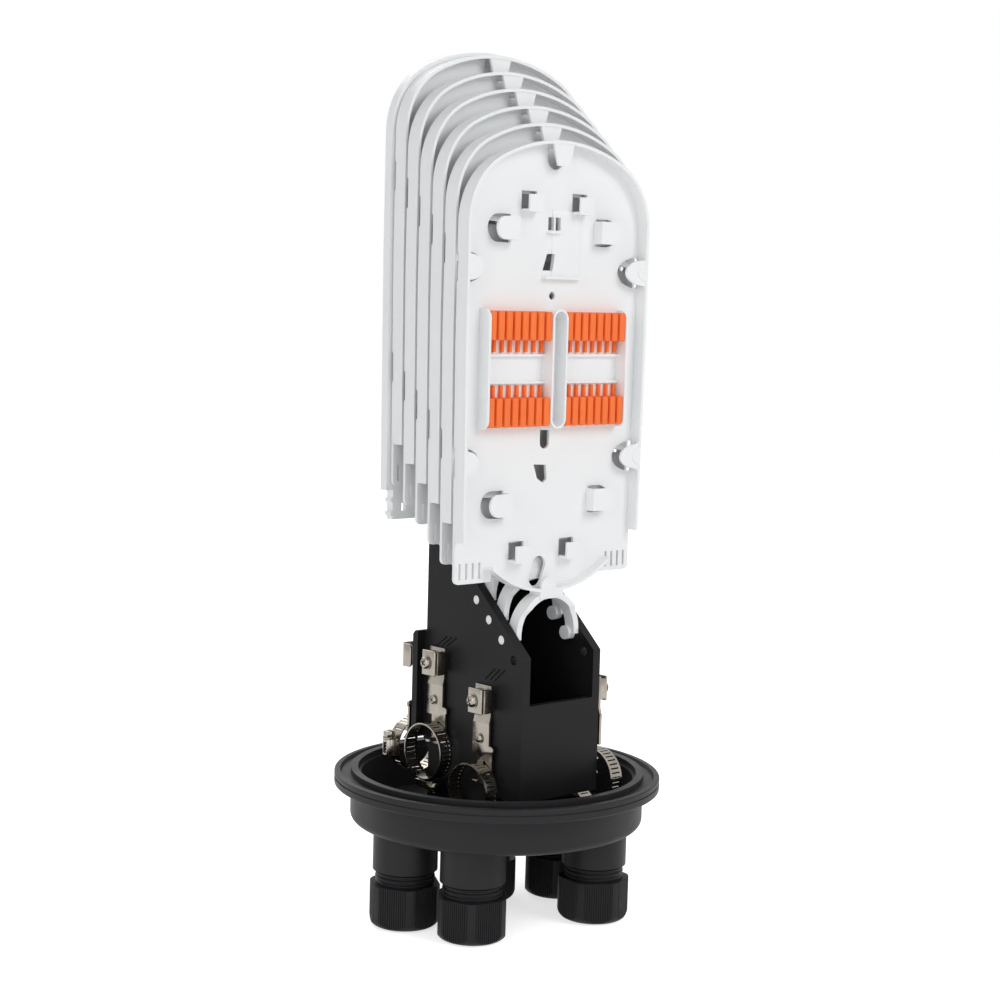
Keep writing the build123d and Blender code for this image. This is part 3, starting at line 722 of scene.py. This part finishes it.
def makeRearPlate():
    body = copyNode("rear_plate", rearPlate["place"])
    near, far = rearPlate["back"]
    ear, half, wall = rearPlate["ear"], rearPlate["half"], rearPlate["wall"]
    bottom, shoulder = rearPlate["low"], rearPlate["shoulder"]
    cuts, walls, windows = [], [], []
    x, z, w, h = rearPlate["window"]
    for side in (-1, 1):
        low, high = span(side, ear, half + 1)
        cuts.append(addBox((low, near - 1, bottom - 1), (high, far + 1, shoulder)))
        low, high = span(side, ear - wall, ear)
        walls.append(addBox((low, near + 0.01, bottom + 0.01), (high, far - 0.01, shoulder + 0.5)))
        low, high = span(side, ear - wall, half - 0.01)
        walls.append(addBox((low, near + 0.01, shoulder + 0.01),
                            (high, far - 0.01, shoulder + wall)))
        for height in rearPlate["nubs"]:
            nub = circlePoints((side * ear, height), rearPlate["nubRadius"], 24)
            walls.append(addPrism(nub, "y", near + 0.02, far - 0.02))
        low, high = span(side, x - w / 2, x + w / 2)
        windows.append(addBox((low, near - 1, z - h / 2), (high, far + 1, z + h / 2)))
    combine(body, joinAll(cuts), "DIFFERENCE")
    for one in walls:
        combine(body, one, "UNION")
    return combine(body, joinAll(windows), "DIFFERENCE")


finishPiece(makeRearPlate(), "rearPlate", "trayWhiteAbsMoulded", "closure",
            ["rear_plate"], Matrix.Translation(rearPlate["place"]))
print("rear plate ready")


# gland nuts: hexagon caps with fine grip ribs, and the bare thread turns over them


gland = {
    "ports": ((-55.6, 6.9), (-42.6, -31.5), (31.6, -43.1), (8.1, 19.6), (47.1, 1.0)),
    "turns": (0, -11.2, 25.8, 8, -14),
    "height": 22.3,
    "flats": 34.5,
    "corner": 18.6,
    "rim": 5.0,
    "floor": 3.5,
    "opening": 10.6,
    "bore": 14.5,
    "ribs": 13,
    "ribSpan": 15.6,
    "ribDepth": 0.45,
    "ribProfile": ((0.12, 0), (0.3, 1), (0.62, 1), (0.8, 0)),
    "circle": 60,
    "threadCore": 13.75,
    "threadRoot": 14.45,
    "threadCrest": 15.5,
    "threadSpan": (22.45, 29.45),
    "threadLead": 0.25,
    "threadPitch": 2.3,
    "threadTurn": (0.3, 0.48, 0.78),
    "threadRoom": 0.75,
}


def nutOutline():
    # a hexagon whose flats carry the ribs, as parts of a step along and of the depth
    flat, step = gland["flats"] / 2, gland["ribSpan"] / gland["ribs"]
    reach = flat / math.cos(math.radians(30))
    outline = []
    for side in range(6):
        middle, tip = math.radians(30 + 60 * side), math.radians(60 + 60 * side)
        ax, ay = math.cos(middle), math.sin(middle)
        for i in range(gland["ribs"]):
            start = -gland["ribSpan"] / 2 + i * step
            for part, drop in gland["ribProfile"]:
                u, v = start + part * step, flat - drop * gland["ribDepth"]
                outline.append((v * ax - u * ay, v * ay + u * ax))
        outline.append((reach * math.cos(tip), reach * math.sin(tip)))
    return outline


def makeNut():
    corner, high, rim, count = gland["corner"], gland["height"], gland["rim"], gland["circle"]
    body = addPrism(nutOutline(), "z", 0.0, high)
    profile = [(0.01, -0.01)] + arcPoints((corner - rim, rim), rim, -90, 0, 8)
    profile += [(corner, high + 1), (0.01, high + 1)]
    combine(body, addLathe(profile, steps=96), "INTERSECT")
    bore = addPrism(circlePoints((0, 0), gland["bore"], count), "z", gland["floor"], high + 1)
    combine(body, bore, "DIFFERENCE")
    hole = addPrism(circlePoints((0, 0), gland["opening"], count), "z", -1, gland["floor"] + 0.5)
    return combine(body, hole, "DIFFERENCE")


def makeThread():
    # plain rings that stand for the free turns between a nut and its port
    core, root, crest = gland["threadCore"], gland["threadRoot"], gland["threadCrest"]
    (low, high), pitch = gland["threadSpan"], gland["threadPitch"]
    rise, fall, end = gland["threadTurn"]
    profile = [(core, low), (root, low)]
    z = low + gland["threadLead"]
    while z + pitch * gland["threadRoom"] < high:
        profile += [(root, z), (crest, z + pitch * rise), (crest, z + pitch * fall),
                    (root, z + pitch * end)]
        z += pitch
    profile += [(root, high), (core, high)]
    return addLathe(profile, steps=64)


nutShape, threadShape = makeNut(), makeThread()
for number, (port, turn) in enumerate(zip(gland["ports"], gland["turns"]), start=1):
    last = number == len(gland["ports"])
    place = Matrix.Translation((*port, 0))
    shape = nutShape if last else copyPiece(nutShape)
    finishPiece(shape, "glandNut%d" % number, "nutBlackNylonMoulded", "nut_body_%d" % number,
                ["gland_nut_%d" % number],
                place @ Matrix.Rotation(math.radians(turn), 4, "Z"), smooth=25)
    shape = threadShape if last else copyPiece(threadShape)
    finishPiece(shape, "spigotThread%d" % number, "baseBlackAbsMoulded", "closure",
                (), place)
print("gland nuts and threads:", len(gland["ports"]))


# cable anchors: stepped steel strip, folded clamp, hose clamp with its worm housing;
# each is drawn with x to its right, y up and z out of the frame's plate


anchor = {
    "places": (
        ((-26.9, -22.3, 119.5), (0, -1, 0), (-1, 0, 0), 45),
        ((-26.9, 15.1, 133.4), (0, -1, 0), (-1, 0, 0), 0),
        ((-26.0, 34.0, 133.4), (-1, 0, 0), (0, 1, 0), 90),
        ((26.9, -39.0, 122.0), (0, 1, 0), (1, 0, 0), 0),
        ((26.9, 15.1, 133.4), (0, 1, 0), (1, 0, 0), 0),
    ),
    "thin": 1.5,
    "step": 1.0,
    "wide": (-8.9, 3.6),
    "upperInset": 0.2,
    "stem": (-4.65, 6.25),
    "foot": (-7.3, 8.9),
    "top": 7.3,
    "waist": -8.4,
    "rampEnd": -12.4,
    "wideEnd": -28.5,
    "stemEnd": -40.5,
    "footEnd": -43.8,
    "tab": (-23.6, -26.8, 3.4),
    "tabChamfer": (1.2, 0.8),
    "eye": (0.8, -33.4, 1.1, 1.9),
    "prong": (3.3, 6.15, 12.9),
    "stripEdge": 0.22,
    "fixing": (-3.4, -20.6),
    "screw": (-1.6, 0.0),
}


def anchorMatrix(origin, right, out):
    right, out = Vector(right), Vector(out)
    turned = Matrix((right, out.cross(right), out)).transposed().to_4x4()
    return Matrix.Translation(origin) @ turned


def makeStrip():
    # upper leg on the frame, ramp, wide leg with a side tab, stem with an eye, flared foot, prong
    thin, step = anchor["thin"], anchor["step"]
    left, right = anchor["wide"]
    top, waist, ramp = anchor["top"], anchor["waist"], anchor["rampEnd"]
    low, high = step + 0.03, step + thin - 0.03
    profile = [(top, 0.01), (top, thin), (waist, thin), (ramp + 0.1, high), (ramp - 1.0, high),
               (ramp - 1.0, low), (ramp + 0.1, low), (waist, 0.01)]
    inset = anchor["upperInset"]
    body = addPrism(profile, "x", left + inset, right - inset)
    tabTop, tabLow, reach = anchor["tab"]
    across, down = anchor["tabChamfer"]
    stemLeft, stemRight = anchor["stem"]
    footLeft, footRight = anchor["foot"]
    stemEnd, footEnd, wideEnd = anchor["stemEnd"], anchor["footEnd"], anchor["wideEnd"]
    outline = [(left, ramp), (right, ramp), (right, tabTop), (right + reach - across, tabTop),
               (right + reach, tabTop - down), (right + reach, tabLow), (stemRight, tabLow),
               (stemRight, stemEnd), (footRight, footEnd), (footLeft, footEnd),
               (stemLeft, stemEnd), (stemLeft, wideEnd), (left, wideEnd)]
    lower = addPrism(outline, "z", step, step + thin)
    x, y, w, h = anchor["eye"]
    eye = [(x + w * u, y + h * v) for u, v in circlePoints((0, 0), 1, 24)]
    combine(lower, addPrism(eye, "z", step - 1, step + thin + 1), "DIFFERENCE")
    combine(body, lower, "UNION")
    low, high, out = anchor["prong"]
    prong = addBox((low, stemEnd + 0.05, step + 0.05), (high, stemEnd + thin, out))
    combine(body, prong, "UNION")
    return roundEdges(body, anchor["stripEdge"], angle=50)


clamp = {
    "half": 5.45,
    "tall": 6.6,
    "front": 9.5,
    "plate": 1.4,
    "plateInset": 0.6,
    "core": (1.2, 2.2, 1.6),
    "cheek": {"back": 4.2, "inset": 0.4, "radius": 2.4, "thick": 1.5},
    "side": (0.05, 1.3, 1.2),
    "groove": (1.6, 1.7, 0.8),
    "groovePlaces": (3.0, 5.2),
    "edges": (0.6, 0.35, 0.3),
}


def makeClamp():
    # a front plate with one rounded cheek and one plain side, over a grooved core
    half, tall, front, thin = clamp["half"], clamp["tall"], clamp["front"], anchor["thin"]
    back = front - clamp["plate"]
    face = addBox((-half, -tall, back), (half - clamp["plateInset"], tall, front))
    faceEdge, cheekEdge, sideEdge = clamp["edges"]
    roundEdges(face, faceEdge, segments=3)
    left, right, end = clamp["core"]
    core = addBox((-half + left, -tall + end, thin + 0.02), (half - right, tall - end, back + 0.3))
    cheek = clamp["cheek"]
    r, inset = cheek["radius"], cheek["inset"]
    outline = [(back - 0.2, -tall + inset)]
    outline += arcPoints((cheek["back"], -tall + inset + r), r, 270, 180, 6)
    outline += arcPoints((cheek["back"], tall - inset - r), r, 180, 90, 6)
    outline += [(back - 0.2, tall - inset)]
    curved = addPrism([(y, z) for z, y in outline], "x", half - cheek["thick"], half)
    roundEdges(curved, cheekEdge)
    left, right, end = clamp["side"]
    plain = addBox((-half + left, -tall + end, thin + 0.02),
                   (-half + right, tall - end, back + 0.2))
    roundEdges(plain, sideEdge)
    for one in (core, curved, plain):
        combine(face, one, "UNION")
    left, right, wide = clamp["groove"]
    grooves = [addBox((-half + left, -tall - 1, z), (half - right, tall + 1, z + wide))
               for z in clamp["groovePlaces"]]
    return combine(face, joinAll(grooves), "DIFFERENCE")


screwHead = {
    "radius": 3.3,
    "shank": 1.5,
    "washer": (3.9, 0.5),
    "rim": 0.3,
    "taper": 0.98,
    "dome": (0.4, 0.8, 1.1, 1.35),
    "cross": (3.6, 0.85, 1.1),
    "block": (3.3, 2.6, 9.0),
    "fixing": (2.3, 1.6, 3.0),
    "turn": 0.5,
}


def makeScrew(radius, height, length):
    # pan head over a spring washer, with a cross recess
    scale = radius / screwHead["radius"]
    washer, thick = screwHead["washer"]
    shank, washer, edge = screwHead["shank"], washer * scale, thick + screwHead["rim"]
    profile = [(0.01, -length), (shank, -length), (shank, 0), (washer, 0.01), (washer, thick),
               (radius * screwHead["taper"], thick), (radius, edge)]
    profile += [(radius * math.cos(a), edge + (height - edge) * math.sin(a))
                for a in screwHead["dome"]]
    profile += [(0.01, height)]
    body = addLathe(profile, steps=32)
    long, wide, deep = [v * scale for v in screwHead["cross"]]
    low, high = height - deep, height + 1
    cross = addBox((-long / 2, -wide / 2, low), (long / 2, wide / 2, high))
    other = addBox((-wide / 2, -long / 2, low - 0.01), (wide / 2, long / 2, high + 0.01))
    return combine(body, combine(cross, other, "UNION"), "DIFFERENCE")


hose = {
    "centre": (-1.75, -48.561, 4.9),
    "lift": 1.5,
    "forward": 2.0,
    "radius": 15.0,
    "thick": 0.7,
    "half": 4.0,
    "segments": 120,
    "slotHalf": 2.7,
    "slotEvery": 3,
    "plain": (240, 300),
    "housing": (4.5, 19.7, 13.6, 4.7),
    "barrel": (1.1, 1.05, 14),
    "window": (1.6, -20.5, -18.4, 1.3),
    "bore": 2.28,
    "housingEdge": 0.25,
}


def makeBand():
    # an open-ended tube cut into rows and slotted, then given its thickness
    startClean()
    bpy.ops.mesh.primitive_cylinder_add(vertices=hose["segments"], radius=hose["radius"],
                                        depth=2 * hose["half"], end_fill_type="NOTHING")
    obj = bpy.context.object
    bpy.ops.object.mode_set(mode="EDIT")
    for height in (-hose["slotHalf"], hose["slotHalf"]):
        bpy.ops.mesh.select_all(action="SELECT")
        bpy.ops.mesh.bisect(plane_co=(0, 0, height), plane_no=(0, 0, 1))
    bpy.ops.mesh.select_all(action="DESELECT")
    bpy.ops.object.mode_set(mode="OBJECT")
    pitch = 360 / hose["segments"]
    start, end = hose["plain"]
    for face in obj.data.polygons:
        x, y, z = face.center
        turn = math.degrees(math.atan2(y, x)) % 360
        slotted = int(turn / pitch) % hose["slotEvery"] == 0 and not start < turn < end
        face.select = abs(z) < hose["slotHalf"] and slotted
    bpy.ops.object.mode_set(mode="EDIT")
    bpy.ops.mesh.select_mode(type="FACE")
    bpy.ops.mesh.delete(type="FACE")
    bpy.ops.mesh.select_mode(type="VERT")
    bpy.ops.object.mode_set(mode="OBJECT")
    wall = obj.modifiers.new("wall", "SOLIDIFY")
    wall.thickness = hose["thick"]
    wall.offset = -1
    bpy.ops.object.modifier_apply(modifier=wall.name)
    obj.data.transform(Matrix.Translation((0, hose["lift"], 0)))
    return obj


worm = {
    "drop": -16.6,
    "radius": 2.2,
    "deep": 0.5,
    "start": -4.5,
    "turns": (5, -4.2, 1.7),
    "turn": (0.35, 0.75, 1.15),
    "neck": (0.4, 4.6),
    "collar": ((3.6, 4.8), (3.6, 5.4), (3.0, 5.5), (0.01, 5.5)),
    "headRadius": 3.3,
    "head": (4.8, 8.8),
    "headEdge": 0.4,
    "slot": (4, 0.55, 1.5),
}


def makeHousing():
    # pressed saddle with a half-round barrel over the worm
    length, low, high, half = hose["housing"]
    wall, widen, steps = hose["barrel"]
    r, drop = half - wall, worm["drop"]
    outline = [(-high, half), (-high, -half)]
    for i in range(1, steps):
        a = math.pi * i / steps
        outline.append((drop - math.sin(a) * (low + drop), -r * math.cos(a) * widen))
    body = addPrism(outline, "x", -length, length)
    band = circlePoints((0, hose["lift"]), hose["radius"] + 0.02, hose["segments"])
    combine(body, addPrism(band, "z", -half - 1, half + 1), "DIFFERENCE")
    bore = circlePoints((drop, 0), hose["bore"], 24)
    combine(body, addPrism(bore, "x", -length - 1, length + 1), "DIFFERENCE")
    inset, bottom, top, halfWidth = hose["window"]
    window = addBox((-length + inset, bottom, -halfWidth), (length - inset, top, halfWidth))
    combine(body, window, "DIFFERENCE")
    return roundEdges(body, hose["housingEdge"], angle=45)


def makeWorm():
    # worm with its thread turns, collar and slotted hexagon head, lying along X
    r, root = worm["radius"], worm["radius"] - worm["deep"]
    count, first, pitch = worm["turns"]
    rise, fall, end = worm["turn"]
    profile = [(0.01, worm["start"]), (root, worm["start"])]
    for i in range(count):
        z = first + i * pitch
        profile += [(root, z), (r, z + rise), (r, z + fall), (root, z + end)]
    thinner, neck = worm["neck"]
    profile += [(r - thinner, neck), *worm["collar"]]
    body = addLathe(profile, steps=32)
    low, high = worm["head"]
    edge = worm["headEdge"]
    head = addPrism(circlePoints((0, 0), worm["headRadius"], 6), "z", low + edge, high)
    combine(body, roundEdges(head, edge), "UNION")
    long, half, deep = worm["slot"]
    combine(body, addBox((-long, -half, high - deep), (long, half, high + 1)), "DIFFERENCE")
    lying = Matrix.Rotation(math.radians(90), 4, "Y")
    body.data.transform(Matrix.Translation((0, worm["drop"], 0)) @ lying)
    return body


stripShape, clampShape, bandShape = makeStrip(), makeClamp(), makeBand()
housingShape, wormShape = makeHousing(), makeWorm()
blockScrew, fixingScrew = makeScrew(*screwHead["block"]), makeScrew(*screwHead["fixing"])
screws = []
for number, (origin, right, out, turn) in enumerate(anchor["places"], start=1):
    place = anchorMatrix(origin, right, out)
    ring = place @ Matrix.Translation(hose["centre"])
    ring = ring @ Matrix.Rotation(math.radians(turn), 4, "Z")
    ring = ring @ Matrix.Translation((0, 0, hose["half"] - hose["forward"]))
    for name, source, body, node, at in (
            ("anchorStrip", stripShape, "closure", "bracket", place),
            ("cableClamp", clampShape, "closure", "clamp_block", place),
            ("hoseBand", bandShape, "closure", "hose_band", ring),
            ("wormHousing", housingShape, "closure", "worm_housing", ring),
            ("wormScrew", wormShape, "worm_body_%d" % number, "worm_screw", ring)):
        finishPiece(copyPiece(source), "%s%d" % (name, number), "anchorSteelNickelPlated",
                    body, ["%s_%d" % (node, number)], at)
    for source, (x, y), z in ((blockScrew, anchor["screw"], clamp["front"]),
                              (fixingScrew, anchor["fixing"], anchor["step"] + anchor["thin"])):
        screw = copyPiece(source)
        turned = Matrix.Rotation(screwHead["turn"] * number, 4, "Z")
        screw.data.transform(place @ Matrix.Translation((x, y, z)) @ turned)
        screws.append(screw)
finishPiece(joinAll(screws), "anchorScrews", "anchorSteelNickelPlated", "closure",
            ["anchor_screws"])
for used in (stripShape, clampShape, bandShape, housingShape, wormShape, blockScrew, fixingScrew):
    bpy.data.objects.remove(used)
print("cable anchors:", len(anchor["places"]))


# moulded marks on the frame's left side plate: two sets of three slanted ribs


frameMarks = {
    "face": -26.9,
    "sets": (((20.2, 141.4), (12.2, 146.8)), ((-18.6, 129.4), (-26.1, 135.8))),
    "count": 3,
    "shift": (-3.9, 0.3),
    "width": 0.7,
    "rise": 0.6,
    "sink": 0.3,
    "edge": 0.2,
}


def makeMarks():
    face, half = frameMarks["face"], frameMarks["width"] / 2
    ribs = []
    for (y0, z0), (y1, z1) in frameMarks["sets"]:
        length = math.hypot(y1 - y0, z1 - z0)
        ny, nz = -(z1 - z0) / length * half, (y1 - y0) / length * half
        outline = [(y0 + ny, z0 + nz), (y1 + ny, z1 + nz), (y1 - ny, z1 - nz), (y0 - ny, z0 - nz)]
        for i in range(frameMarks["count"]):
            dy, dz = [i * s for s in frameMarks["shift"]]
            rib = addPrism([(y + dy, z + dz) for y, z in outline], "x",
                           face - frameMarks["rise"], face + frameMarks["sink"])
            ribs.append(roundEdges(rib, frameMarks["edge"]))
    return joinAll(ribs)


finishPiece(makeMarks(), "frameMarks", "frameBlackNylonMoulded", "closure")
print("frame marks ready")


# floor and light


stage = {
    "floorSize": 6.0,
    "floorDrop": 0.0002,
    "floorColour": "ffffff",
    "floorGlow": 0.66,
    "world": 0.42,
    "aim": (0, 0, 0.22),
    "lamps": {
        "key": {"place": (0.5, -1.5, 1.3), "size": 0.9, "power": 12},
        "fill": {"place": (-1.5, -0.5, 0.6), "size": 1.2, "power": 6},
        "rim": {"place": (0.3, 1.4, 1.1), "size": 1.0, "power": 7},
        "side": {"place": (-0.5, -1.6, 0.3), "size": 0.6, "power": 1.5},
    },
}


def seenDirectly(mat):
    # 1 for what the camera, gloss and glass see, 0 for the rays that light the object
    path = addNode(mat, "ShaderNodeLightPath")
    gloss = addNode(mat, "ShaderNodeMath", {"operation": "MAXIMUM"})
    link(mat, path.outputs["Is Camera Ray"], gloss.inputs[0])
    link(mat, path.outputs["Is Glossy Ray"], gloss.inputs[1])
    glass = addNode(mat, "ShaderNodeMath", {"operation": "MAXIMUM"})
    link(mat, gloss.outputs[0], glass.inputs[0])
    link(mat, path.outputs["Is Transmission Ray"], glass.inputs[1])
    return glass.outputs[0]


def makeFloor():
    startClean()
    bpy.ops.mesh.primitive_plane_add(size=stage["floorSize"], location=(0, 0, -stage["floorDrop"]))
    floor = bpy.context.object
    floor.name = "floor"
    mat, shader = newMaterial("paperFloor")[:2]
    shader.inputs["Base Color"].default_value = hexColour(stage["floorColour"])
    shader.inputs["Roughness"].default_value = 0.9
    shader.inputs["Specular IOR Level"].default_value = 0.0
    shader.inputs["Emission Color"].default_value = (1, 1, 1, 1)
    glow = addNode(mat, "ShaderNodeMath", {"operation": "MULTIPLY"})
    link(mat, seenDirectly(mat), glow.inputs[0])
    glow.inputs[1].default_value = stage["floorGlow"]
    link(mat, glow.outputs[0], shader.inputs["Emission Strength"])
    floor.data.materials.append(mat)


def makeWorld():
    world = bpy.data.worlds.new("softRoom")
    bpy.context.scene.world = world
    world.use_nodes = True
    background = world.node_tree.nodes["Background"]
    background.inputs["Color"].default_value = (1, 1, 1, 1)
    strength = addNode(world, "ShaderNodeMapRange", {"To Min": stage["world"], "To Max": 1.0},
                       {"Value": seenDirectly(world)})
    link(world, strength.outputs[0], background.inputs["Strength"])


def makeLamps():
    for name, spec in stage["lamps"].items():
        data = bpy.data.lights.new(name, "AREA")
        data.size = spec["size"]
        data.energy = spec["power"]
        lamp = bpy.data.objects.new(name, data)
        bpy.context.scene.collection.objects.link(lamp)
        lamp.location = spec["place"]
        aim = Vector(stage["aim"]) - Vector(spec["place"])
        lamp.rotation_euler = aim.to_track_quat("-Z", "Y").to_euler()


makeCamera()
makeFloor()
makeWorld()
makeLamps()
bpy.context.scene.view_settings.view_transform = "Standard"
print("camera, materials and stage ready")
